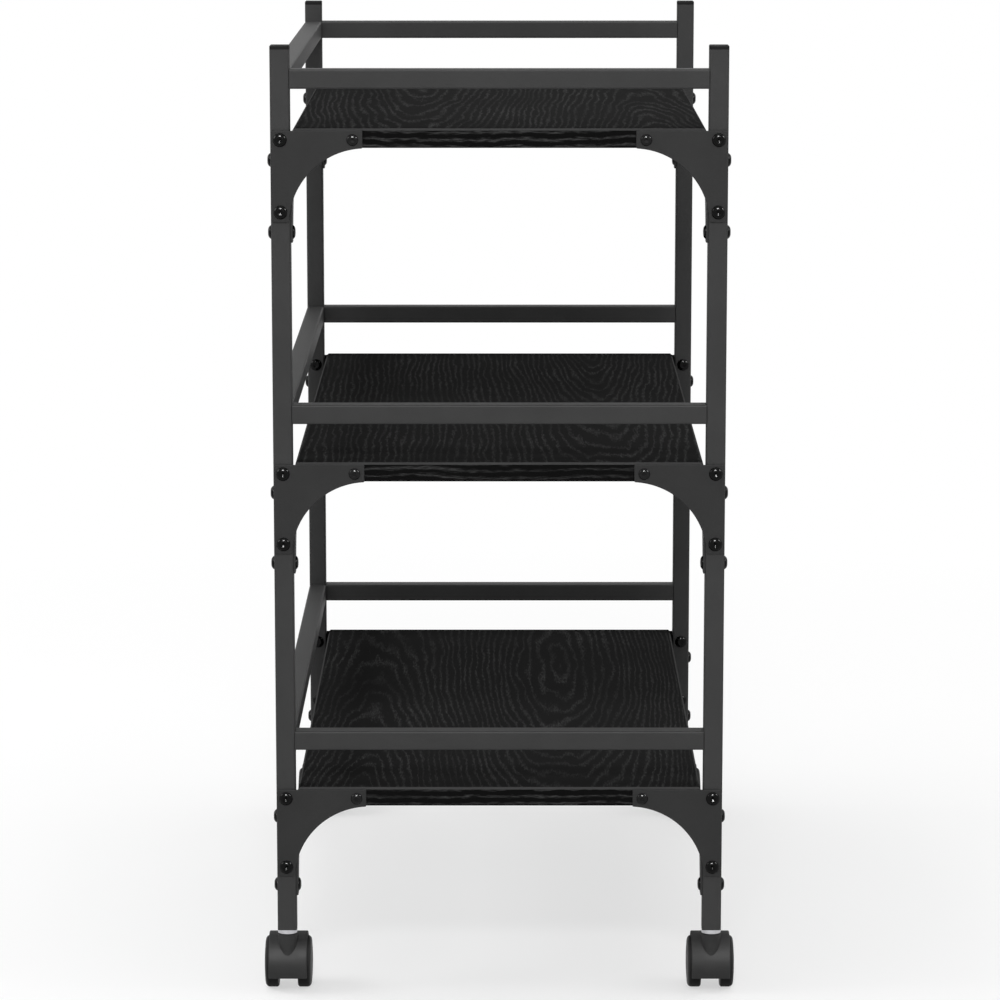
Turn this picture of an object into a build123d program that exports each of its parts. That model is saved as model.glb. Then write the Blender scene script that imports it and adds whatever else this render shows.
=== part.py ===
from build123d import *

import os

# Three-tier kitchen trolley on swivel casters, in millimetres, standing on the floor at Z = 0.
# X runs across its ends, Y along its long sides, and the origin is on the floor under its middle.
# The long side at -X has a guard rail over each shelf and the one at +X is open for loading.

# Steel frame
frame_width = 350.0  # outside of the legs, across an end
frame_length = 600.0  # outside of the legs, along a long side
tube = 15.0  # square tube of the legs and rails, outside
tube_wall = 1.2
tube_corner = 1.5  # outside corner radius of the tube
tube_bore_corner = 0.5  # corner radius inside the tube
leg_length = 693.0
plug_clearance = 0.05  # between a plastic plug and the tube around it, each side
cap_head = 3.0  # part of a leg's cap that stands on the tube
cap_plug = 12.0  # part of the cap inside the tube
cap_edge = 1.0  # rounding of the cap's upper edges

# Shelves and guard rails
tiers = ("lower", "middle", "upper")
lowest_shelf_rise = 116.0  # from a leg's lower end to the lowest shelf's top
board_thickness = 15.0
board_side_gap = 2.0  # between a board and the legs beside it
board_edge = 1.6  # bevel along the board's edges
rail_gap = 30.0  # clear height between a shelf and the rails over it
rail_drop = 15.0  # from a leg tube's upper end down to the upper rails

# Corner plates of flat and bent steel sheet
sheet = 1.5
plate_size = 70.0  # length of both arms, one along the shelf and one down the leg
plate_arm = 13.5  # width of an arm at its end
plate_arc_ease = 2.5  # by which the hollow edge's radius exceeds a quarter circle between the arms
plate_corner = 1.0  # rounding of the plate's corners
plate_edge = 0.35  # rounding of the end plates' outer edges, as the punch leaves them
plate_lowering = 1.7  # from a shelf's top down to the end plates' upper edge
hole_inset = 7.0  # from a plate's edges to its corner hole
hole_end_inset = 7.6  # from an arm's end to the hole in it
flange_width = 18.0  # shelf-bearing flange of a side bracket, from the leg's face
bend_radius = 1.2  # inside the bend between a side bracket's flange and its plate

# Fasteners
bolt = 6.0
bolt_clearance = 0.2  # radial, in the plates and the tube walls
bolt_head = 10.5
bolt_head_height = 2.5
head_bevel = 1.0
nut_cap = 10.5
nut_cap_height = 2.0
nut_thread = 1.2  # depth of the bolt's end in its cap nut
thread_clearance = 0.05  # radial, where a thread is screwed in
screw = 4.0
screw_clearance = 0.2  # radial, in the plates
screw_head = 9.0
screw_head_height = 2.2
edge_screw_length = 24.0  # under the head
flange_screw_length = 13.0

# Casters
caster_height = 52.0  # from the floor to a leg's lower end
insert_length = 22.0  # threaded plug inside the leg
stem_thread = 8.0
stem_thread_length = 18.0
collar = 15.5  # bright flange between leg and hood
collar_height = 3.7
collar_bevel = 0.6
swivel_pin = 7.0
swivel_pin_length = 22.0
running_clearance = 0.05  # radial, where a piece turns on its pin
thrust_gap = 0.2  # between faces that slide past each other
press_clearance = 0.01  # radial, where the axle is pressed in
wheel_radius = 20.5
wheel_width = 11.4
wheel_shoulder = 3.5  # rounding of a wheel's outer edge
wheel_dome = 0.8  # rise of its outer face
wheel_inner_edge = 1.1  # bevel of its inner edge
groove_radius = 11.5  # ring groove in the outer face
groove_width = 1.2
groove_depth = 1.0
wheel_spacing = 15.2  # between the inner faces of a pair
caster_trail = 15.0  # from the swivel axis to the axle
axle = 4.0
axle_length = 32.0
fender_gap = 1.7  # between wheel tread and fender
fender_wall = 1.8
fender_width = 30.4
fender_edge = 0.7
fender_rear_angle = 30.0  # above the horizontal, behind the axle
fender_front_angle = 20.0  # below the horizontal, on the stem's side
web_thickness = 4.0  # plate between the wheels
hub_radius = 6.0
boss_top_radius = 8.0  # tapered housing of the swivel pin
boss_radius = 6.6
boss_taper_height = 14.0
boss_floor = 6.0  # material under the swivel pin

# Places that follow from these sizes
leg_x = (frame_width - tube) / 2
leg_y = (frame_length - tube) / 2
outer_x = frame_width / 2
outer_y = frame_length / 2
leg_bottom = caster_height
leg_top = leg_bottom + leg_length
top_shelf = leg_top - rail_drop - tube - rail_gap
low_shelf = leg_bottom + lowest_shelf_rise
shelf_pitch = (top_shelf - low_shelf) / (len(tiers) - 1)
shelf_tops = [low_shelf + i * shelf_pitch for i in range(len(tiers))]
board_width = frame_width - 2 * (tube + board_side_gap)
plate_inset = tube / 2 - hole_inset  # puts the plates' bolts on the legs' middle lines
plate_arc = plate_size - plate_arm + plate_arc_ease
hole_pitch = plate_size - hole_inset - hole_end_inset  # from the corner hole to the others
flange_under = board_thickness + sheet  # from a shelf's top to the underside of a bracket's flange
bracket_drop = flange_under + bend_radius
end_bolts = [-plate_lowering - hole_inset - step for step in (0, hole_pitch)]
side_bolts = [-bracket_drop - hole_inset - step for step in (0, hole_pitch)]
screw_reach = plate_inset + hole_inset + hole_pitch  # from the leg's outer face to the tip's screw
tube_bore = tube - 2 * tube_wall
plug = tube_bore - 2 * plug_clearance
flange_screw_x = -outer_x + tube + (sheet + flange_width) / 2
flange_screw_y = -outer_y + screw_reach
collar_bottom = leg_bottom - collar_height
pin_bottom = collar_bottom - swivel_pin_length
axle_y = -leg_y + caster_trail
ends = {"near": -1, "far": 1}
sides = {"left": -1, "right": 1}
corners = [(f"{end}_{side}", sx, sy) for end, sy in ends.items() for side, sx in sides.items()]

os.makedirs("parts", exist_ok=True)


def save(piece, name):
    """Label a finished piece and write it to its own STEP file."""
    piece.part.label = name
    export_step(piece.part, f"parts/{name}.step")


def at_corner(drawn, sx, sy, z=0.0):
    """A copy of a piece drawn for the near left corner, raised by z and mirrored to corner (sx, sy)."""
    with BuildPart() as copy:
        with Locations((0, 0, z)):
            add(drawn.part)
        if sx > 0:
            mirror(about=Plane.YZ, mode=Mode.REPLACE)
        if sy > 0:
            mirror(about=Plane.XZ, mode=Mode.REPLACE)
    return copy


def at_every_shelf_corner(drawn):
    """All copies of a small piece in one group: every corner of every shelf."""
    with BuildPart() as group:
        for top in shelf_tops:
            for _, sx, sy in corners:
                add(at_corner(drawn, sx, sy, top).part)
    return group


def at_every_leg(drawn):
    """All copies of a small piece in one group: one for each leg."""
    with BuildPart() as group:
        for _, sx, sy in corners:
            add(at_corner(drawn, sx, sy).part)
    return group


# Legs: square tube, bored for the bolts of the end plates and, lower, of the side brackets
with BuildPart() as leg:
    with BuildSketch(Plane((-leg_x, -leg_y, leg_bottom))):
        RectangleRounded(tube, tube, tube_corner)
        RectangleRounded(tube_bore, tube_bore, tube_bore_corner, mode=Mode.SUBTRACT)
    extrude(amount=leg_length)
    with BuildSketch(Plane.XZ.offset(leg_y)):
        with Locations(*[(-leg_x, top + z) for top in shelf_tops for z in end_bolts]):
            Circle(bolt / 2 + bolt_clearance)
    extrude(amount=tube, both=True, mode=Mode.SUBTRACT)
    with BuildSketch(Plane.YZ.offset(-leg_x)):
        with Locations(*[(-leg_y, top + z) for top in shelf_tops for z in side_bolts]):
            Circle(bolt / 2 + bolt_clearance)
    extrude(amount=tube, both=True, mode=Mode.SUBTRACT)

for corner, sx, sy in corners:
    save(at_corner(leg, sx, sy), f"leg_{corner}")

# Leg caps: moulded heads with a plug pressed into the tube
with BuildPart() as cap:
    with BuildSketch(Plane((-leg_x, -leg_y, leg_top))):
        RectangleRounded(tube, tube, tube_corner)
    extrude(amount=cap_head)
    fillet(cap.faces().sort_by(Axis.Z)[-1].edges(), radius=cap_edge)
    with BuildSketch(Plane((-leg_x, -leg_y, leg_top))):
        RectangleRounded(plug, plug, tube_bore_corner)
    extrude(amount=-cap_plug)

for corner, sx, sy in corners:
    save(at_corner(cap, sx, sy), f"leg_cap_{corner}")


def rail(middle, direction, length):
    """A guard rail of the leg's tube, centred on middle, with square-cut ends welded to the legs."""
    with BuildPart() as bar:
        with BuildSketch(Plane(middle, z_dir=direction)):
            RectangleRounded(tube, tube, tube_corner)
            RectangleRounded(tube_bore, tube_bore, tube_bore_corner, mode=Mode.SUBTRACT)
        extrude(amount=length / 2, both=True)
    return bar


# Guard rails: one across each end and one along the left side, over every shelf
for tier, top in zip(tiers, shelf_tops):
    rail_z = top + rail_gap + tube / 2
    for end, sy in ends.items():
        save(rail((0, sy * leg_y, rail_z), (1, 0, 0), frame_width - 2 * tube), f"rail_{end}_{tier}")
    save(rail((-leg_x, 0, rail_z), (0, 1, 0), frame_length - 2 * tube), f"rail_left_{tier}")

# Shelves: flat boards between the legs, with pilot holes for the screws
for tier, top in zip(tiers, shelf_tops):
    with BuildPart() as shelf:
        with BuildSketch(Plane.XY.offset(top - board_thickness)):
            Rectangle(board_width, frame_length)
        extrude(amount=board_thickness)
        chamfer(shelf.edges().filter_by(Axis.Z, reverse=True), length=board_edge)
        for sy in ends.values():
            with BuildSketch(Plane((0, sy * outer_y, top), x_dir=(1, 0, 0), z_dir=(0, -1, 0))):
                with GridLocations(2 * (outer_x - screw_reach), 0, 2, 1):
                    with Locations((0, end_bolts[0])):
                        Circle(screw / 2 + thread_clearance)
            extrude(amount=sy * (edge_screw_length - sheet), mode=Mode.SUBTRACT)
        with BuildSketch(Plane.XY.offset(top - board_thickness)):
            with GridLocations(2 * -flange_screw_x, 2 * -flange_screw_y, 2, 2):
                Circle(screw / 2 + thread_clearance)
        extrude(amount=flange_screw_length - sheet, mode=Mode.SUBTRACT)
    save(shelf, f"shelf_{tier}")


def plate(corner_plane):
    """A corner plate lying on corner_plane, its upper outer corner at the plane's origin."""
    with BuildPart() as blank:
        with BuildSketch(corner_plane) as outline:
            with BuildLine():
                upper = Line((0, 0), (plate_size, 0))
                tip = Line(upper @ 1, (plate_size, -plate_arm))
                hollow = RadiusArc(tip @ 1, (plate_arm, -plate_size), -plate_arc)
                foot = Line(hollow @ 1, (0, -plate_size))
                Line(foot @ 1, upper @ 0)
            make_face()
            fillet(outline.vertices(), radius=plate_corner)
            with Locations((hole_inset, -hole_inset), (hole_inset, -hole_inset - hole_pitch)):
                Circle(bolt / 2 + bolt_clearance, mode=Mode.SUBTRACT)
        extrude(amount=sheet)
    return blank


# End plates: flat gussets across leg and board end, with a screw hole in the tip
end_plane = Plane(
    (-outer_x + plate_inset, -outer_y, -plate_lowering), x_dir=(1, 0, 0), z_dir=(0, -1, 0)
)
with BuildPart() as end_plate:
    add(plate(end_plane).part)
    with BuildSketch(end_plane):
        with Locations((hole_inset + hole_pitch, -hole_inset)):
            Circle(screw / 2 + screw_clearance)
    extrude(amount=sheet, mode=Mode.SUBTRACT)
    fillet(end_plate.faces().sort_by(Axis.Y)[0].outer_wire().edges(), radius=plate_edge)

for tier, top in zip(tiers, shelf_tops):
    for corner, sx, sy in corners:
        save(at_corner(end_plate, sx, sy, top), f"end_plate_{tier}_{corner}")

# Side brackets: the same plate on the leg's inner face, its upper edge bent in under the board
bracket_corner = (-outer_x + tube, -outer_y + plate_inset)
bracket_plane = Plane((*bracket_corner, -bracket_drop), x_dir=(0, 1, 0), z_dir=(1, 0, 0))
with BuildPart() as bracket:
    add(plate(bracket_plane).part)
    with BuildSketch(Plane((*bracket_corner, -board_thickness))):
        Rectangle(sheet, plate_size, align=(Align.MIN, Align.MIN))
    extrude(amount=-(sheet + bend_radius + plate_corner))
    with BuildSketch(Plane((*bracket_corner, -flange_under))) as flange:
        Rectangle(flange_width, plate_size, align=(Align.MIN, Align.MIN))
        fillet(flange.vertices().group_by(Axis.X)[-1], radius=plate_corner)
    extrude(amount=sheet)
    bend_edges = bracket.edges().filter_by(Axis.Y)
    bend_y = bracket_corner[1] + plate_size / 2
    outside = bend_edges.sort_by_distance((bracket_corner[0], bend_y, -board_thickness))[0]
    inside = bend_edges.sort_by_distance((bracket_corner[0] + sheet, bend_y, -flange_under))[0]
    fillet(outside, radius=bend_radius + sheet)
    fillet(inside, radius=bend_radius)
    with BuildSketch(Plane((flange_screw_x, flange_screw_y, -flange_under))):
        Circle(screw / 2 + screw_clearance)
    extrude(amount=sheet, mode=Mode.SUBTRACT)

for tier, top in zip(tiers, shelf_tops):
    with BuildPart() as brackets:
        for _, sx, sy in corners:
            add(at_corner(bracket, sx, sy, top).part)
    save(brackets, f"side_brackets_{tier}")


def headed_pin(seat, head, head_height, shank, shank_length):
    """A bolt or screw: bevelled head on the seat plane, shank running back behind it."""
    with BuildPart() as pin:
        with BuildSketch(seat):
            Circle(head / 2)
        extrude(amount=head_height)
        chamfer(pin.faces().sort_by(Axis(seat.origin, seat.z_dir))[-1].edges(), length=head_bevel)
        with BuildSketch(seat):
            Circle(shank / 2)
        extrude(amount=-shank_length)
    return pin


def cap_nut(seat):
    """A low round cap nut on the seat plane, with a blind bore for the bolt's end."""
    with BuildPart() as nut:
        with BuildSketch(seat):
            Circle(nut_cap / 2)
        extrude(amount=nut_cap_height)
        chamfer(nut.faces().sort_by(Axis(seat.origin, seat.z_dir))[-1].edges(), length=head_bevel)
        with BuildSketch(seat):
            Circle(bolt / 2 + thread_clearance)
        extrude(amount=nut_thread, mode=Mode.SUBTRACT)
    return nut


# Bolts and cap nuts: along Y through end plate and leg, along X through leg and side bracket
grip = tube + sheet
end_heads = [Plane((-leg_x, -outer_y - sheet, z), z_dir=(0, -1, 0)) for z in end_bolts]
side_heads = [Plane((-outer_x, -leg_y, z), z_dir=(-1, 0, 0)) for z in side_bolts]
with BuildPart() as corner_bolts:
    for seat in end_heads + side_heads:
        add(headed_pin(seat, bolt_head, bolt_head_height, bolt, grip + nut_thread).part)
save(at_every_shelf_corner(corner_bolts), "leg_bolts")

end_nuts = [Plane((-leg_x, -outer_y + tube, z), z_dir=(0, 1, 0)) for z in end_bolts]
side_nuts = [Plane((-outer_x + grip, -leg_y, z), z_dir=(1, 0, 0)) for z in side_bolts]
with BuildPart() as corner_nuts:
    for seat in end_nuts + side_nuts:
        add(cap_nut(seat).part)
save(at_every_shelf_corner(corner_nuts), "cap_nuts")

# Screws: through the end plates' tips into the boards' ends, and up through the brackets' flanges
tip_seat = Plane((-outer_x + screw_reach, -outer_y - sheet, end_bolts[0]), z_dir=(0, -1, 0))
edge_screw = headed_pin(tip_seat, screw_head, screw_head_height, screw, edge_screw_length)
save(at_every_shelf_corner(edge_screw), "edge_screws")

flange_seat = Plane((flange_screw_x, flange_screw_y, -flange_under), z_dir=(0, 0, -1))
flange_screw = headed_pin(flange_seat, screw_head, screw_head_height, screw, flange_screw_length)
save(at_every_shelf_corner(flange_screw), "flange_screws")

# Caster inserts: plugs in the legs' lower ends, threaded for the stems
leg_foot = Plane((-leg_x, -leg_y, leg_bottom))
with BuildPart() as insert:
    with BuildSketch(leg_foot):
        RectangleRounded(plug, plug, tube_bore_corner)
        Circle(stem_thread / 2 + thread_clearance, mode=Mode.SUBTRACT)
    extrude(amount=insert_length)
save(at_every_leg(insert), "caster_inserts")

# Caster stems: thread, bright collar and swivel pin turned in one
with BuildPart() as stem:
    with BuildSketch(leg_foot.offset(-collar_height)):
        Circle(collar / 2)
    extrude(amount=collar_height)
    chamfer(stem.faces().sort_by(Axis.Z)[0].edges(), length=collar_bevel)
    with BuildSketch(leg_foot):
        Circle(stem_thread / 2)
    extrude(amount=stem_thread_length)
    with BuildSketch(leg_foot.offset(-collar_height)):
        Circle(swivel_pin / 2)
    extrude(amount=-swivel_pin_length)
save(at_every_leg(stem), "caster_stems")

# Caster hoods: fender over both wheels, web between them, axle hub and tapered swivel housing
caster_plane = Plane.YZ.offset(-leg_x)
axle_point = (axle_y, wheel_radius)
fender_inner = wheel_radius + fender_gap
fender_radius = fender_inner + fender_wall
fender_sweep = 180 - fender_rear_angle + fender_front_angle
boss_top = collar_bottom - thrust_gap
boss_bottom = pin_bottom - boss_floor
with BuildPart() as hood:
    with BuildSketch(caster_plane):
        with BuildLine():
            crown = CenterArc(axle_point, fender_radius, fender_rear_angle, fender_sweep)
            lining = CenterArc(axle_point, fender_inner, fender_rear_angle, fender_sweep)
            Line(crown @ 0, lining @ 0)
            Line(crown @ 1, lining @ 1)
        make_face()
    extrude(amount=fender_width / 2, both=True)
    fillet(hood.edges().filter_by(GeomType.CIRCLE).group_by(SortBy.RADIUS)[-1], radius=fender_edge)
    with BuildSketch(caster_plane):
        with BuildLine():
            rim = CenterArc(axle_point, fender_inner + fender_wall / 2, fender_rear_angle, fender_sweep)
            Line(axle_point, rim @ 0)
            Line(axle_point, rim @ 1)
        make_face()
    extrude(amount=web_thickness / 2, both=True)
    with BuildSketch(caster_plane):
        with Locations(axle_point):
            Circle(hub_radius)
    extrude(amount=wheel_spacing / 2 - thrust_gap, both=True)
    with BuildSketch(Plane((-leg_x, -leg_y, 0), x_dir=(1, 0, 0), z_dir=(0, -1, 0))):
        with BuildLine():
            Polyline(
                (0, boss_top),
                (boss_top_radius, boss_top),
                (boss_radius, boss_top - boss_taper_height),
                (boss_radius, boss_bottom),
                (0, boss_bottom),
                close=True,
            )
        make_face()
    revolve(axis=Axis((-leg_x, -leg_y, 0), (0, 0, 1)))
    with BuildSketch(caster_plane):
        with Locations(axle_point):
            Circle(axle / 2 + press_clearance)
    extrude(amount=wheel_spacing, both=True, mode=Mode.SUBTRACT)
    with BuildSketch(Plane((-leg_x, -leg_y, boss_top))):
        Circle(swivel_pin / 2 + running_clearance)
    extrude(amount=pin_bottom - thrust_gap - boss_top, mode=Mode.SUBTRACT)

for corner, sx, sy in corners:
    save(at_corner(hood, sx, sy), f"caster_hood_{corner}")

# Caster axles: steel pins pressed through the hubs
with BuildPart() as pin:
    with BuildSketch(caster_plane):
        with Locations(axle_point):
            Circle(axle / 2)
    extrude(amount=axle_length / 2, both=True)

for corner, sx, sy in corners:
    save(at_corner(pin, sx, sy), f"caster_axle_{corner}")

# Caster wheels: turned discs with a blind bore, a rounded shoulder and a domed, grooved outer face
wheel_face = wheel_spacing / 2 + wheel_width
wheel_rim_x = wheel_face - wheel_dome
dome_radius = ((wheel_radius - wheel_shoulder) ** 2 + wheel_dome**2) / (2 * wheel_dome)
bore_end = axle_length / 2 + thrust_gap
with BuildPart() as wheel:
    with BuildSketch(Plane((-leg_x, axle_y, wheel_radius), x_dir=(1, 0, 0), z_dir=(0, -1, 0))):
        with BuildLine():
            bore = Polyline(
                (bore_end, 0),
                (bore_end, axle / 2 + running_clearance),
                (wheel_spacing / 2, axle / 2 + running_clearance),
                (wheel_spacing / 2, wheel_radius - wheel_inner_edge),
                (wheel_spacing / 2 + wheel_inner_edge, wheel_radius),
                (wheel_rim_x - wheel_shoulder, wheel_radius),
            )
            shoulder = TangentArc(bore @ 1, (wheel_rim_x, wheel_radius - wheel_shoulder), tangent=(1, 0))
            dome = RadiusArc(shoulder @ 1, (wheel_face, 0), dome_radius)
            Line(dome @ 1, bore @ 0)
        make_face()
    revolve(axis=Axis((-leg_x, axle_y, wheel_radius), (1, 0, 0)))
    with BuildSketch(caster_plane.offset(wheel_face)):
        with Locations(axle_point):
            Circle(groove_radius)
            Circle(groove_radius - groove_width, mode=Mode.SUBTRACT)
    extrude(amount=-groove_depth, mode=Mode.SUBTRACT)

with BuildPart() as outer_wheel:
    add(wheel.part)
    mirror(about=caster_plane, mode=Mode.REPLACE)

for corner, sx, sy in corners:
    save(at_corner(wheel, sx, sy), f"wheel_{corner}_inner")
    save(at_corner(outer_wheel, sx, sy), f"wheel_{corner}_outer")
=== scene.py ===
import math

import bmesh
import bpy
from mathutils import Matrix, Vector


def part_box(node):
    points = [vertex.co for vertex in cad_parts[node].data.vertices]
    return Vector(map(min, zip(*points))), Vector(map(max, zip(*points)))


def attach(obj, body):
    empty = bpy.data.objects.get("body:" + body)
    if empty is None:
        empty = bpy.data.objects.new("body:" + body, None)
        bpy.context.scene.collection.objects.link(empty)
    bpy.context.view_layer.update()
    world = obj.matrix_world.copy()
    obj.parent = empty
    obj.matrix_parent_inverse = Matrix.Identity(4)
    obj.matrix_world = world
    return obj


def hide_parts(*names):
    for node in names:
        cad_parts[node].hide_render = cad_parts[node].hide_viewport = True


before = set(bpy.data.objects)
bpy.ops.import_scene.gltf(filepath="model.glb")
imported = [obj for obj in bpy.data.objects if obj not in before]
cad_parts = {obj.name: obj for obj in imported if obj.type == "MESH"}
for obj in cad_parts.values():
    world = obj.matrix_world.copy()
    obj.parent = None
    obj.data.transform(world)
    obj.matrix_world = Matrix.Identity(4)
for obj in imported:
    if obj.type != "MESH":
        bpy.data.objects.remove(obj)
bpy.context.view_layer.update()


# Legs: four uprights of square steel tube, cut square and drilled for the plates' bolts.
# The steel is sprayed with black powder and baked, which leaves a satin, very finely dimpled skin.
corners = [(end, side) for end in ("near", "far") for side in ("left", "right")]
powder_gloss = 0.07


def feed(tree, node, inputs):
    """Gives a node its inputs: a socket is linked, anything else is set as the value."""
    for key, value in inputs.items():
        if isinstance(value, bpy.types.NodeSocket):
            tree.links.new(value, node.inputs[key])
        else:
            node.inputs[key].default_value = value


def put(tree, kind, inputs=None, **settings):
    """Adds a node with its settings and inputs."""
    made = tree.nodes.new(kind)
    for key, value in settings.items():
        setattr(made, key, value)
    feed(tree, made, inputs or {})
    return made


def effect(name, takes, gives):
    """A shader node group; takes and gives list its sockets as (name, kind)."""
    tree = bpy.data.node_groups.new(name, "ShaderNodeTree")
    for in_out, sockets in (("INPUT", takes), ("OUTPUT", gives)):
        for label, kind in sockets:
            tree.interface.new_socket(label, in_out=in_out, socket_type=f"NodeSocket{kind}")
    return tree, tree.nodes.new("NodeGroupInput").outputs, tree.nodes.new("NodeGroupOutput")


def place_in_metres(tree):
    """Where a point lies on the trolley, in metres; it moves with the piece."""
    return put(tree, "ShaderNodeTexCoord").outputs["Object"]


def noise(tree, place, per_metre, detail):
    """Soft random spots, so many to the metre."""
    made = put(tree, "ShaderNodeTexNoise", {"Vector": place, "Scale": per_metre, "Detail": detail})
    return made.outputs["Fac"]


def ranged(tree, value, low, high, to_low, to_high):
    """Maps a value from one range to another, clamped at the ends."""
    return put(tree, "ShaderNodeMapRange", {0: value, 1: low, 2: high, 3: to_low, 4: to_high}).outputs[0]


def varied(tree, spots, to_low, to_high):
    """Maps a noise, which lies mostly between 0.3 and 0.7, to another range."""
    return ranged(tree, spots, 0.3, 0.7, to_low, to_high)


def reckon(tree, operation, *values, **settings):
    """One step of arithmetic."""
    return put(tree, "ShaderNodeMath", dict(enumerate(values)), operation=operation, **settings).outputs[0]


def grey(level):
    """A neutral colour."""
    return (level, level, level, 1.0)


def tinted(tree, colour, factor):
    """A colour made lighter or darker by a factor around 1."""
    return put(tree, "ShaderNodeHueSaturation", {"Color": colour, "Value": factor}).outputs[0]


powder_skin, given, out = effect(
    "powder_skin",
    [("Place", "Vector"), ("Colour", "Color"), ("Dimples", "Float")],
    [("Colour", "Color"), ("Roughness", "Float"), ("Height", "Float")],
)
cloud = varied(powder_skin, noise(powder_skin, given["Place"], 26.0, 4.0), 0.93, 1.07)
specks = noise(powder_skin, given["Place"], 2600.0, 1.0)
shade = reckon(powder_skin, "MULTIPLY", cloud, varied(powder_skin, specks, 0.90, 1.10))
feed(
    powder_skin,
    out,
    {
        "Colour": tinted(powder_skin, given["Colour"], shade),
        "Roughness": ranged(powder_skin, specks, 0.25, 0.75, 0.46, 0.60),
        "Height": noise(powder_skin, given["Place"], given["Dimples"], 2.0),
    },
)


def new_finish(name):
    """An empty material with its shader."""
    made = bpy.data.materials.new(name)
    made.use_nodes = True
    return made, made.node_tree, made.node_tree.nodes["Principled BSDF"]


def under_skin(tree, shader, skin_effect, values):
    """Places a skin effect in a finish and feeds the shader's colour and roughness from it."""
    skin = put(tree, "ShaderNodeGroup", {"Place": place_in_metres(tree), **values}, node_tree=skin_effect)
    feed(tree, shader, {"Base Color": skin.outputs["Colour"], "Roughness": skin.outputs["Roughness"]})
    return skin


def raised(tree, shader, height, strength, depth):
    """Feeds a height through a bump into the shader's normal."""
    bump = put(tree, "ShaderNodeBump", {"Height": height, "Strength": strength, "Distance": depth})
    feed(tree, shader, {"Normal": bump.outputs["Normal"]})


def powder_coated(name, colour, dimples):
    """Steel under baked black powder."""
    made, tree, shader = new_finish(name)
    skin = under_skin(tree, shader, powder_skin, {"Colour": colour, "Dimples": dimples})
    raised(tree, shader, skin.outputs["Height"], strength=0.16, depth=0.00025)
    feed(tree, shader, {"Specular IOR Level": powder_gloss})
    return made


def dress(node, finish):
    """Gives a CAD node its finish."""
    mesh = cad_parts[node].data
    mesh.materials.clear()
    mesh.materials.append(finish)


leg_coat = powder_coated("leg_coat", grey(0.0375), dimples=900.0)
for end, side in corners:
    dress(f"leg_{end}_{side}", leg_coat)

# Guard rails: lengths of the legs' tube, welded between them over each shelf.
# Two cross the ends and one runs along the closed side; they are sprayed like the legs.
tiers = ("lower", "middle", "upper")
rail_coat = powder_coated("rail_coat", grey(0.0370), dimples=900.0)
for tier in tiers:
    for run in ("near", "far", "left"):
        dress(f"rail_{run}_{tier}", rail_coat)

# Leg caps: square plugs of black polythene, pushed into the open tube ends.
# The mould is spark-eroded, so the skin is dull with a fine even grain.
moulded_skin, given, out = effect(
    "moulded_skin",
    [("Place", "Vector"), ("Colour", "Color"), ("Grain", "Float"), ("Dullness", "Float")],
    [("Colour", "Color"), ("Roughness", "Float"), ("Height", "Float")],
)
flow = noise(moulded_skin, given["Place"], 60.0, 3.0)
patchy = varied(moulded_skin, flow, 0.86, 1.14)
feed(
    moulded_skin,
    out,
    {
        "Colour": tinted(moulded_skin, given["Colour"], varied(moulded_skin, flow, 0.90, 1.10)),
        "Roughness": reckon(moulded_skin, "MULTIPLY", given["Dullness"], patchy),
        "Height": noise(moulded_skin, given["Place"], given["Grain"], 2.0),
    },
)


def moulded(name, colour, grain, dullness, gloss):
    """Black plastic with the skin of its mould."""
    made, tree, shader = new_finish(name)
    skin = under_skin(tree, shader, moulded_skin, {"Colour": colour, "Grain": grain, "Dullness": dullness})
    raised(tree, shader, skin.outputs["Height"], strength=0.12, depth=0.0002)
    feed(tree, shader, {"Specular IOR Level": gloss})
    return made


cap_plastic = moulded("cap_plastic", grey(0.0050), grain=1800.0, dullness=0.60, gloss=0.06)
for end, side in corners:
    dress(f"leg_cap_{end}_{side}", cap_plastic)

# Shelves: chipboard faced with black oak-grain laminate, its edges banded and eased.
# The figure runs along the trolley: rings about a heart, folded into arches along a line.
# On the banded edges the lines run level; the eased edges that face up are painted paler, a painted
# highlight.
grain_lines, given, out = effect(
    "grain_lines",
    [("Place", "Vector"), ("Rings", "Float")],
    [("Line", "Float"), ("Height", "Float")],
)


def stretched(tree, place, *per_metre):
    """A place scaled by itself along X, Y and Z, so that a noise there is drawn out."""
    return put(tree, "ShaderNodeVectorMath", {0: place, 1: per_metre}, operation="MULTIPLY").outputs[0]


def along_grain(across, along):
    """Noise drawn out along the grain: so many spots to the metre across it and along it."""
    return noise(grain_lines, stretched(grain_lines, given["Place"], across, along, across), 1.0, 2.0)


fraying = 1.55
line_end = 0.98
patches = ranged(grain_lines, along_grain(19.0, 9.0), 0.34, 0.64, 0.34, 1.0)
line_start = varied(grain_lines, along_grain(120.0, 10.0), 0.78, 0.26)
frayed = reckon(grain_lines, "MULTIPLY_ADD", along_grain(620.0, 110.0), fraying, given["Rings"])
pores = ranged(grain_lines, along_grain(1300.0, 130.0), 0.38, 0.60, 0.22, 1.0)
crest = ranged(grain_lines, reckon(grain_lines, "PINGPONG", frayed, 1.0), line_start, line_end, 0.0, 1.0)
ink = reckon(grain_lines, "MULTIPLY", patches, pores)
feed(grain_lines, out, {"Line": reckon(grain_lines, "MULTIPLY", crest, ink), "Height": crest})

board_figure, given, out = effect(
    "board_figure",
    [
        ("Place", "Vector"),
        ("Arch line", "Float"),
        ("Arch to heart", "Float"),
        ("Heart along", "Float"),
        ("Arch slope", "Float"),
        ("Crowding", "Float"),
        ("Fineness", "Float"),
        ("Stretch", "Float"),
        ("Seed", "Float"),
    ],
    [("Rings", "Float")],
)


def figured(operation, *values):
    """One step of the figure's arithmetic."""
    return reckon(board_figure, operation, *values)


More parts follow.
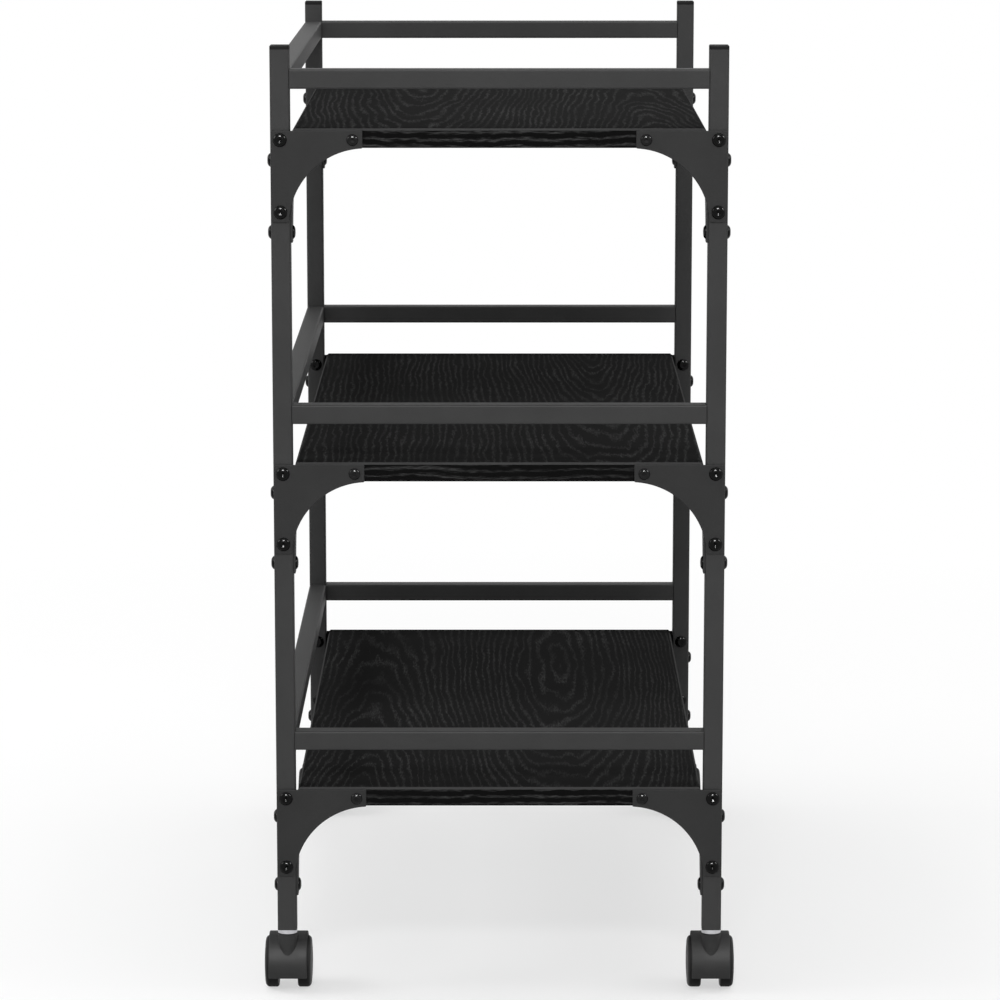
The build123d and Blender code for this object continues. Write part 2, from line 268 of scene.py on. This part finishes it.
def board_noise(across, along, detail):
    """Noise of the board's own seed, drawn out along the grain."""
    place = stretched(board_figure, given["Place"], across, along, 0.0)
    inputs = {"Vector": place, "W": given["Seed"], "Scale": 1.0, "Detail": detail}
    return put(board_figure, "ShaderNodeTexNoise", inputs, noise_dimensions="4D").outputs["Fac"]


fold_radius = 0.020
crowded_from = 0.10
rings_per_metre = 190.0
heart_reach, heart_turns, heart_pull = 0.18, 17.5, -11.5
wander, drift = 3.4, 9.0
spot = put(board_figure, "ShaderNodeSeparateXYZ", {0: given["Place"]}).outputs
off_arch = figured("SUBTRACT", spot["X"], given["Arch line"])
folded = figured("SQRT", figured("MULTIPLY_ADD", off_arch, off_arch, fold_radius**2))
across = figured("SUBTRACT", given["Arch to heart"], folded)
along = figured("MULTIPLY", figured("SUBTRACT", spot["Y"], given["Heart along"]), given["Stretch"])
heart = figured("SQRT", figured("MULTIPLY_ADD", across, across, figured("MULTIPLY", along, along)))
slope = figured("MULTIPLY", spot["Y"], given["Arch slope"])
arch = figured("MULTIPLY", slope, figured("DIVIDE", fold_radius, folded))
past = figured("MAXIMUM", figured("SUBTRACT", spot["X"], crowded_from), 0.0)
crowded = figured("MULTIPLY", figured("MULTIPLY", past, past), given["Crowding"])
closing = figured("COSINE", figured("MULTIPLY", figured("MINIMUM", heart, heart_reach), heart_turns))
spread = figured("MULTIPLY_ADD", heart, rings_per_metre, figured("MULTIPLY", closing, heart_pull))
even = figured("MULTIPLY_ADD", spread, given["Fineness"], figured("ADD", arch, crowded))
uneven = figured("MULTIPLY_ADD", board_noise(62.0, 11.0, 2.0), wander, even)
feed(board_figure, out, {"Rings": figured("MULTIPLY_ADD", board_noise(17.0, 3.6, 3.0), drift, uneven)})


def blended(tree, factor, plain, other):
    """A colour between two others."""
    return put(tree, "ShaderNodeMix", {0: factor, 6: plain, 7: other}, data_type="RGBA").outputs[2]


def laminate(name, figure_places):
    """Black laminate with its own figure, a band of level lines round its edges, and a painted highlight
    on the eased edges that face up.
    """
    made, tree, shader = new_finish(name)
    place = place_in_metres(tree)
    figure = put(tree, "ShaderNodeGroup", {"Place": place, **figure_places}, node_tree=board_figure)
    face_inputs = {"Place": place, "Rings": figure.outputs["Rings"]}
    face = put(tree, "ShaderNodeGroup", face_inputs, node_tree=grain_lines)

    band_sway, band_lines = 5.0, 360.0
    apart = put(tree, "ShaderNodeSeparateXYZ", {0: place}).outputs
    round_edge = reckon(tree, "ADD", apart["X"], apart["Y"])
    turned = put(
        tree, "ShaderNodeCombineXYZ", {"X": apart["Z"], "Y": round_edge, "Z": figure_places["Seed"]}
    ).outputs[0]
    sway = noise(tree, turned, 12.0, 3.0)
    level_rings = reckon(tree, "MULTIPLY", apart["Z"], band_lines)
    band_rings = reckon(tree, "MULTIPLY_ADD", sway, band_sway, level_rings)
    band = put(tree, "ShaderNodeGroup", {"Place": turned, "Rings": band_rings}, node_tree=grain_lines)

    top_print = blended(tree, face.outputs["Line"], grey(0.0166), grey(0.0486))
    band_print = blended(tree, band.outputs["Line"], grey(0.0056), grey(0.0500))
    # Painted highlight: the eased edges that face up get a paler grey, standing in for the light they
    # catch from above.
    bevel = blended(tree, sway, grey(0.045), grey(0.060))
    outward = put(tree, "ShaderNodeNewGeometry").outputs["True Normal"]
    upward = put(tree, "ShaderNodeSeparateXYZ", {0: outward}).outputs["Z"]
    flat = reckon(tree, "GREATER_THAN", reckon(tree, "ABSOLUTE", upward), 0.9)
    # Edges facing down or sideways keep the band print; only the upward-facing eased edges take the
    # painted highlight.
    upright = reckon(tree, "LESS_THAN", upward, 0.4)
    edge = blended(tree, upright, bevel, band_print)
    feed(
        tree,
        shader,
        {
            "Base Color": blended(tree, flat, edge, top_print),
            "Roughness": ranged(tree, face.outputs["Line"], 0.0, 1.0, 0.62, 0.50),
            "Specular IOR Level": 0.0,
        },
    )
    raised(tree, shader, face.outputs["Height"], strength=0.10, depth=0.0002)
    return made


board_figures = {
    "lower": {
        "Seed": 1.3,
        "Arch line": -0.108,
        "Arch to heart": 0.164,
        "Heart along": 0.145,
        "Arch slope": -30.0,
        "Crowding": 1800.0,
        "Fineness": 1.0,
        "Stretch": 0.135,
    },
    "middle": {
        "Seed": 4.1,
        "Arch line": 0.083,
        "Arch to heart": 0.44,
        "Heart along": 0.05,
        "Arch slope": 46.0,
        "Crowding": 500.0,
        "Fineness": 2.0,
        "Stretch": 0.1,
    },
    "upper": {
        "Seed": 7.7,
        "Arch line": 0.120,
        "Arch to heart": 0.185,
        "Heart along": 0.33,
        "Arch slope": -34.0,
        "Crowding": 300.0,
        "Fineness": 1.1,
        "Stretch": 0.06,
    },
}
for tier in tiers:
    dress(f"shelf_{tier}", laminate(f"board_{tier}", board_figures[tier]))

# End plates: gussets blanked from steel sheet, with a hollow curve between their two arms.
# Each is bolted to a leg and screwed to the shelf's end; a separate spray batch, a little darker.
plate_coat = powder_coated("plate_coat", grey(0.0262), dimples=1000.0)
for tier in tiers:
    for end, side in corners:
        dress(f"end_plate_{tier}_{end}_{side}", plate_coat)

# Side brackets: the same blanks with a flange bent over, bolted to the legs' inner faces.
# The shelf lies on the flanges and is screwed down from below.
for tier in tiers:
    dress(f"side_brackets_{tier}", plate_coat)

# Leg bolts: button heads with a hexagon socket, two through each end plate and leg,
# and two through each leg and side bracket. Turned steel, blackened and oiled to a gloss.
scene = bpy.context.scene
oiled_steel, given, out = effect(
    "oiled_steel",
    [("Place", "Vector"), ("Colour", "Color")],
    [("Colour", "Color"), ("Roughness", "Float")],
)
film = noise(oiled_steel, given["Place"], 420.0, 3.0)
feed(
    oiled_steel,
    out,
    {
        "Colour": tinted(oiled_steel, given["Colour"], varied(oiled_steel, film, 0.75, 1.25)),
        "Roughness": varied(oiled_steel, film, 0.12, 0.18),
    },
)


def blackened(name, colour, gloss):
    """Steel under a glossy black oxide."""
    made, tree, shader = new_finish(name)
    under_skin(tree, shader, oiled_steel, {"Colour": colour})
    feed(tree, shader, {"Specular IOR Level": gloss})
    return made


round_steps, dome_steps = 36, 8


def ring_of(bm, seat, radius_at, height, turn):
    """A ring of points round the seat's axis."""
    ring = []
    for step in range(round_steps):
        angle = math.tau * step / round_steps
        radius = radius_at(angle)
        point = Vector((radius * math.cos(angle + turn), radius * math.sin(angle + turn), height))
        ring.append(bm.verts.new(seat @ point))
    return ring


def skinned(bm, rings, first, last):
    """Closes a stack of rings with a point at either end."""
    for low, high in zip(rings, rings[1:]):
        for i in range(round_steps):
            j = (i + 1) % round_steps
            bm.faces.new((low[i], low[j], high[j], high[i]))
    for i in range(round_steps):
        j = (i + 1) % round_steps
        bm.faces.new((rings[0][j], rings[0][i], first))
        bm.faces.new((rings[-1][i], rings[-1][j], last))


def shank(radius, length):
    """Rings of a shank that runs back from the seat, its end bevelled."""
    bevel = 0.0004
    return [(radius - bevel, -length), (radius, bevel - length), (radius, 0.0)]


def button_head(bm, seat, below, turn, radius, height, socket, socket_depth, drill_angle):
    """A domed head on the seat with a drilled hexagon socket; below lists the rings behind the seat."""
    rim_ease, least_lip, land, mouth_ease, pilot = 0.00015, 0.0004, 0.0003, 0.0001, 0.0005
    steep, shallow = math.radians(60), math.radians(12)
    crown = socket / math.sqrt(3) + land
    bend = (radius - crown) / (math.sin(steep) - math.sin(shallow))
    fall = math.cos(shallow) - math.cos(steep)
    lip = max(height - bend * fall, least_lip)
    profile = below + [(radius - rim_ease, 0.0), (radius, rim_ease), (radius, lip)]
    for step in range(1, dome_steps + 1):
        tilt = steep + (shallow - steep) * step / dome_steps
        out_to = crown + bend * (math.sin(tilt) - math.sin(shallow))
        up_to = lip + (height - lip) * (math.cos(tilt) - math.cos(steep)) / fall
        profile.append((out_to, up_to))
    rings = [ring_of(bm, seat, lambda angle, r=r: r, h, turn) for r, h in profile]

    def hexagon(angle):
        return socket / 2 / math.cos(angle % (math.pi / 3) - math.pi / 6)

    for drop in (mouth_ease, socket_depth):
        rings.append(ring_of(bm, seat, hexagon, height - drop, turn))
    drill_slope = math.tan(drill_angle)
    drilled = height - socket_depth - (socket / 2 - pilot) * drill_slope
    rings.append(ring_of(bm, seat, lambda angle: pilot, drilled, turn))
    back_end = bm.verts.new(seat @ Vector((0, 0, below[0][1])))
    well = bm.verts.new(seat @ Vector((0, 0, drilled - pilot * drill_slope)))
    skinned(bm, rings, back_end, well)


def seat_at(point, outward):
    """The frame of a head's seat: its Z points out of the work."""
    return Matrix.Translation(point) @ Vector(outward).to_track_quat("Z", "Y").to_matrix().to_4x4()


def small_parts(name, bm, finish, node):
    """Finishes a group of fasteners as one piece on the frame, in place of its CAD node."""
    crease = math.radians(38)
    mesh = bpy.data.meshes.new(name)
    bm.to_mesh(mesh)
    bm.free()
    for face in mesh.polygons:
        face.use_smooth = True
    mesh.set_sharp_from_angle(angle=crease)
    mesh.materials.append(finish)
    piece = bpy.data.objects.new(name, mesh)
    scene.collection.objects.link(piece)
    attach(piece, "frame")
    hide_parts(node)


leg_low, leg_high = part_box("leg_far_right")
leg_x = (leg_low.x + leg_high.x) / 2
leg_y = (leg_low.y + leg_high.y) / 2
sheet = 0.0015
grip = leg_high.x - leg_low.x + sheet
shelf_tops = [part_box(f"shelf_{tier}")[1].z for tier in tiers]
shelf_corners = [(top, sy, sx) for top in shelf_tops for sy in (-1, 1) for sx in (-1, 1)]
hole_pitch, end_drop, side_drop = 0.0554, 0.0087, 0.0247
bolt_runs = []
for top, sy, sx in shelf_corners:
    for drop in (end_drop, end_drop + hole_pitch):
        head = Vector((sx * leg_x, sy * (leg_high.y + sheet), top - drop))
        bolt_runs.append((head, Vector((0, sy, 0))))
    for drop in (side_drop, side_drop + hole_pitch):
        head = Vector((sx * leg_high.x, sy * leg_y, top - drop))
        bolt_runs.append((head, Vector((sx, 0, 0))))

bolt_shape = {
    "radius": 0.00525,
    "height": 0.00248,
    "socket": 0.0040,
    "socket_depth": 0.0015,
    "drill_angle": math.radians(26),
}
bolt_shank, bolt_end = 0.003, 0.0010
bolt_turn = 37
bolts = bmesh.new()
for number, (head, outward) in enumerate(bolt_runs, start=1):
    turn = math.radians(bolt_turn * number)
    button_head(bolts, seat_at(head, outward), shank(bolt_shank, grip + bolt_end), turn, **bolt_shape)
bolt_black = blackened("bolt_black", grey(0.0014), gloss=0.10)
small_parts("leg_bolts_hex", bolts, bolt_black, "leg_bolts")

# Cap nuts: low round nuts on the bolts' far ends, with a shallow socket to hold them.
# Their domes cover the threads, on the legs' inner faces and on the side brackets.
flat_floor = math.radians(5)
nut_shape = {**bolt_shape, "height": 0.0020, "socket_depth": 0.0005, "drill_angle": flat_floor}
nut_clearance, nut_bore_depth = 0.00005, 0.0012
nut_bore = [(bolt_shank + nut_clearance, nut_bore_depth), (bolt_shank + nut_clearance, 0.0)]
nut_turn = 62.9
nuts = bmesh.new()
for number, (head, outward) in enumerate(bolt_runs, start=1):
    turn = math.radians(nut_turn * number)
    button_head(nuts, seat_at(head - outward * grip, -outward), nut_bore, turn, **nut_shape)
small_parts("cap_nuts_domed", nuts, bolt_black, "cap_nuts")

# Shelf screws: one through each end plate's tip into the board's end, one up through each flange.
# Smaller button heads in the same black, a little greyer than the bolts.
screw_shape = {
    "radius": 0.0045,
    "height": 0.0022,
    "socket": 0.0030,
    "socket_depth": 0.0014,
    "drill_angle": flat_floor,
}
screw_shank = 0.002
edge_shank, flange_shank = shank(screw_shank, 0.0238), shank(screw_shank, 0.0128)
board_thickness, tip_reach, flange_line = 0.015, 0.0629, 0.15025
screw_turn = 41
edge_screws, flange_screws = bmesh.new(), bmesh.new()
for number, (top, sy, sx) in enumerate(shelf_corners, start=len(bolt_runs) + 1):
    turn = math.radians(screw_turn * number)
    tip = Vector((sx * (leg_high.x - tip_reach), sy * (leg_high.y + sheet), top - end_drop))
    button_head(edge_screws, seat_at(tip, (0, sy, 0)), edge_shank, turn, **screw_shape)
    under = Vector((sx * flange_line, sy * (leg_high.y - tip_reach), top - board_thickness - sheet))
    button_head(flange_screws, seat_at(under, (0, 0, -1)), flange_shank, turn, **screw_shape)
screw_black = blackened("screw_black", grey(0.0080), gloss=0.12)
small_parts("edge_screws_hex", edge_screws, screw_black, "edge_screws")
small_parts("flange_screws_hex", flange_screws, screw_black, "flange_screws")


# Caster inserts and stems: a threaded plastic plug in each leg takes the stem, whose collar shows below.
# The stem is turned from steel bar and bright plated, with faint rings left by the tool.
def tool_marks(tree, axis, per_metre):
    """Fine rings that a lathe tool or a grinding wheel leaves along an axis."""
    along_axis = put(tree, "ShaderNodeSeparateXYZ", {0: place_in_metres(tree)}).outputs[axis]
    marks = put(tree, "ShaderNodeTexNoise", {"W": along_axis, "Scale": per_metre}, noise_dimensions="1D")
    return marks.outputs["Fac"]


dress("caster_inserts", cap_plastic)
stem_plate, tree, shader = new_finish("stem_plate")
lathe_rings = tool_marks(tree, "Z", 9000.0)
stain = varied(tree, noise(tree, place_in_metres(tree), 300.0, 2.0), 0.88, 1.10)
feed(
    tree,
    shader,
    {
        "Base Color": tinted(tree, (0.50, 0.50, 0.52, 1.0), stain),
        "Roughness": varied(tree, lathe_rings, 0.16, 0.30),
        "Metallic": 1.0,
    },
)
raised(tree, shader, lathe_rings, strength=0.08, depth=0.0001)
dress("caster_stems", stem_plate)

# Caster hoods: a curved fender over two wheels, with the swivel housing, web and axle hub in one moulding.
# Glass-filled black nylon with a satin skin that shows a soft band of light.
hood_plastic = moulded("hood_plastic", grey(0.0250), grain=2200.0, dullness=0.60, gloss=0.11)
for end, side in corners:
    dress(f"caster_hood_{end}_{side}", hood_plastic)

# Caster axles: ground steel pins pressed through the hoods' hubs.
# They are hidden between the wheels, which run on their ends.
axle_steel, tree, shader = new_finish("axle_steel")
ground = tool_marks(tree, "X", 7000.0)
feed(
    tree,
    shader,
    {
        "Base Color": tinted(tree, (0.55, 0.55, 0.56, 1.0), varied(tree, ground, 0.9, 1.1)),
        "Roughness": varied(tree, ground, 0.25, 0.4),
        "Metallic": 1.0,
    },
)
for end, side in corners:
    dress(f"caster_axle_{end}_{side}", axle_steel)

# Caster wheels: solid nylon discs, two to a caster, with a rounded shoulder and a ring in the outer face.
# They turn by themselves on the axle; the treads are dulled by the floor and painted darker than the
# sides, a painted shade for the floor's contact shadow.
wheel_low, wheel_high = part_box("wheel_far_right_inner")
wheel_radius = (wheel_high.z - wheel_low.z) / 2
axle_y = (wheel_low.y + wheel_high.y) / 2
axle_z = wheel_low.z + wheel_radius
# The tread band is both dulled by wear and painted darker as shade; here it starts and is full.
shade_and_wear_start, shade_and_wear_full = wheel_radius - 0.0012, wheel_radius - 0.0002
side_dullness, tread_dullness = 0.48, 0.75
wheel_plastic, tree, shader = new_finish("wheel_plastic")
place = place_in_metres(tree)
apart = put(tree, "ShaderNodeSeparateXYZ", {0: place}).outputs
off_axle = put(
    tree,
    "ShaderNodeCombineXYZ",
    {
        "X": reckon(tree, "SUBTRACT", reckon(tree, "ABSOLUTE", apart["Y"]), axle_y),
        "Y": reckon(tree, "SUBTRACT", apart["Z"], axle_z),
    },
).outputs[0]
from_axle = put(tree, "ShaderNodeVectorMath", {0: off_axle}, operation="LENGTH").outputs["Value"]
tread = ranged(tree, from_axle, shade_and_wear_start, shade_and_wear_full, 0.0, 1.0)
# Painted shade: the tread's dark grey stands in for the shadow where the wheel meets the floor; its
# dullness is real wear.
painted_shade_tread = tinted(tree, grey(0.0073), noise(tree, place, 500.0, 3.0))
skin = put(
    tree,
    "ShaderNodeGroup",
    {"Place": place, "Colour": grey(0.0205), "Grain": 1500.0, "Dullness": side_dullness},
    node_tree=moulded_skin,
)
feed(
    tree,
    shader,
    {
        "Base Color": blended(tree, tread, skin.outputs["Colour"], painted_shade_tread),
        "Roughness": ranged(tree, tread, 0.0, 1.0, side_dullness, tread_dullness),
        "Specular IOR Level": 0.12,
    },
)
raised(tree, shader, skin.outputs["Height"], strength=0.12, depth=0.0002)
for end, side in corners:
    for run in ("inner", "outer"):
        dress(f"wheel_{end}_{side}_{run}", wheel_plastic)

# Floor: a plain white sheet that takes the trolley's shadow and runs out of sight.
# Seen directly or in a gloss it is lifted towards white, so that it ends in the same white as the room.
floor_reach, floor_level = 40.0, -0.0002
floor_mesh = bpy.data.meshes.new("floor")
floor_mesh.from_pydata(
    [(x * floor_reach, y * floor_reach, floor_level) for x, y in ((-1, -1), (1, -1), (1, 1), (-1, 1))],
    [],
    [(0, 1, 2, 3)],
)
floor = bpy.data.objects.new("floor", floor_mesh)
scene.collection.objects.link(floor)
floor_white, tree, shader = new_finish("floor_white")
place = place_in_metres(tree)
mottle = varied(tree, noise(tree, place, 3.0, 2.0), 0.99, 1.01)
feed(
    tree,
    shader,
    {"Base Color": tinted(tree, grey(0.86), mottle), "Roughness": 0.9, "Specular IOR Level": 0.0},
)


def seen(tree):
    """1 for rays that show the background: straight from the camera, in a gloss or through glass."""
    path = put(tree, "ShaderNodeLightPath").outputs
    direct = reckon(tree, "ADD", path["Is Camera Ray"], path["Is Glossy Ray"], use_clamp=True)
    return reckon(tree, "ADD", direct, path["Is Transmission Ray"], use_clamp=True)


shadow_end, white_from = 0.35, 1.6
shadow_lift = 0.55
from_middle = put(tree, "ShaderNodeVectorMath", {0: place}, operation="LENGTH").outputs["Value"]
fading = ranged(tree, from_middle, shadow_end, white_from, shadow_lift, 1.0)
lift = reckon(tree, "MULTIPLY", seen(tree), fading)
glow = put(tree, "ShaderNodeEmission", {"Color": grey(1.0), "Strength": 1.0})
lifted = put(tree, "ShaderNodeMixShader", {0: lift, 1: shader.outputs[0], 2: glow.outputs[0]})
feed(tree, tree.nodes["Material Output"], {"Surface": lifted.outputs[0]})
floor_mesh.materials.append(floor_white)

# Room: a studio that is even white all round.
# It gives half its strength as light, and full white where it is seen.
room = bpy.data.worlds.new("room")
room.use_nodes = True
tree = room.node_tree
room_light, room_white = 0.50, 1.0
feed(
    tree,
    tree.nodes["Background"],
    {"Color": grey(1.0), "Strength": ranged(tree, seen(tree), 0.0, 1.0, room_light, room_white)},
)
scene.world = room


# Studio lamps: soft boxes above, in front, behind and at both sides, for a plain even light.
# Two more lamps, in front and at the right, show only in the gloss and put the sparks on the bolts.
def soft_box(name, place, aim, width, depth, watts, diffuse=True, gloss=True):
    """A rectangular lamp at a place, facing a point; it may light only the gloss or only the colour."""
    lamp = bpy.data.lights.new(name, "AREA")
    lamp.shape = "RECTANGLE"
    lamp.size = width
    lamp.size_y = depth
    lamp.energy = watts
    made = bpy.data.objects.new(name, lamp)
    made.location = place
    made.rotation_euler = (Vector(aim) - Vector(place)).to_track_quat("-Z", "Y").to_euler()
    made.visible_diffuse = diffuse
    made.visible_glossy = gloss
    scene.collection.objects.link(made)


near_end, trolley, low_down = (0.0, -0.1, 0.35), (0.0, 0.0, 0.4), (0.0, 0.0, 0.3)
soft_box("overhead", (0.0, 0.1, 3.0), trolley, 2.2, 2.2, 16.0)
soft_box("front_key", (-0.2, -5.9, 4.75), near_end, 1.30, 0.80, 120.0)
soft_box("right_spark", (2.3, -0.9, 2.1), near_end, 0.55, 0.55, 50.0, diffuse=False)
soft_box("glint", (-0.2, -6.0, 4.88), near_end, 2.00, 2.00, 1350.0, diffuse=False)
soft_box("left_side", (-2.4, -0.2, 1.8), low_down, 1.6, 1.2, 36.0)
soft_box("right_side", (2.4, -0.2, 1.8), low_down, 1.6, 1.2, 18.0)
soft_box("front_fill", (0.0, -5.0, 1.6), trolley, 3.0, 2.0, 36.0)
soft_box("back_fill", (0.0, 5.0, 1.6), trolley, 3.0, 2.0, 60.0, gloss=False)

# Camera: a long lens nearly a metre above the floor, square to the trolley's near end.
# It looks slightly down, so that the tops of all three shelves show.
lens = bpy.data.cameras.new("photographer")
lens.lens = 148.9
lens.sensor_width = 36.0
eye = bpy.data.objects.new("photographer", lens)
eye.location = (0.0005, -3.455, 0.962)
eye.rotation_euler = (math.radians(79.85), 0.0, 0.0)
scene.collection.objects.link(eye)
scene.camera = eye

# Picture: colours reach the picture as they are written, with no film look.
scene.view_settings.view_transform = "Standard"
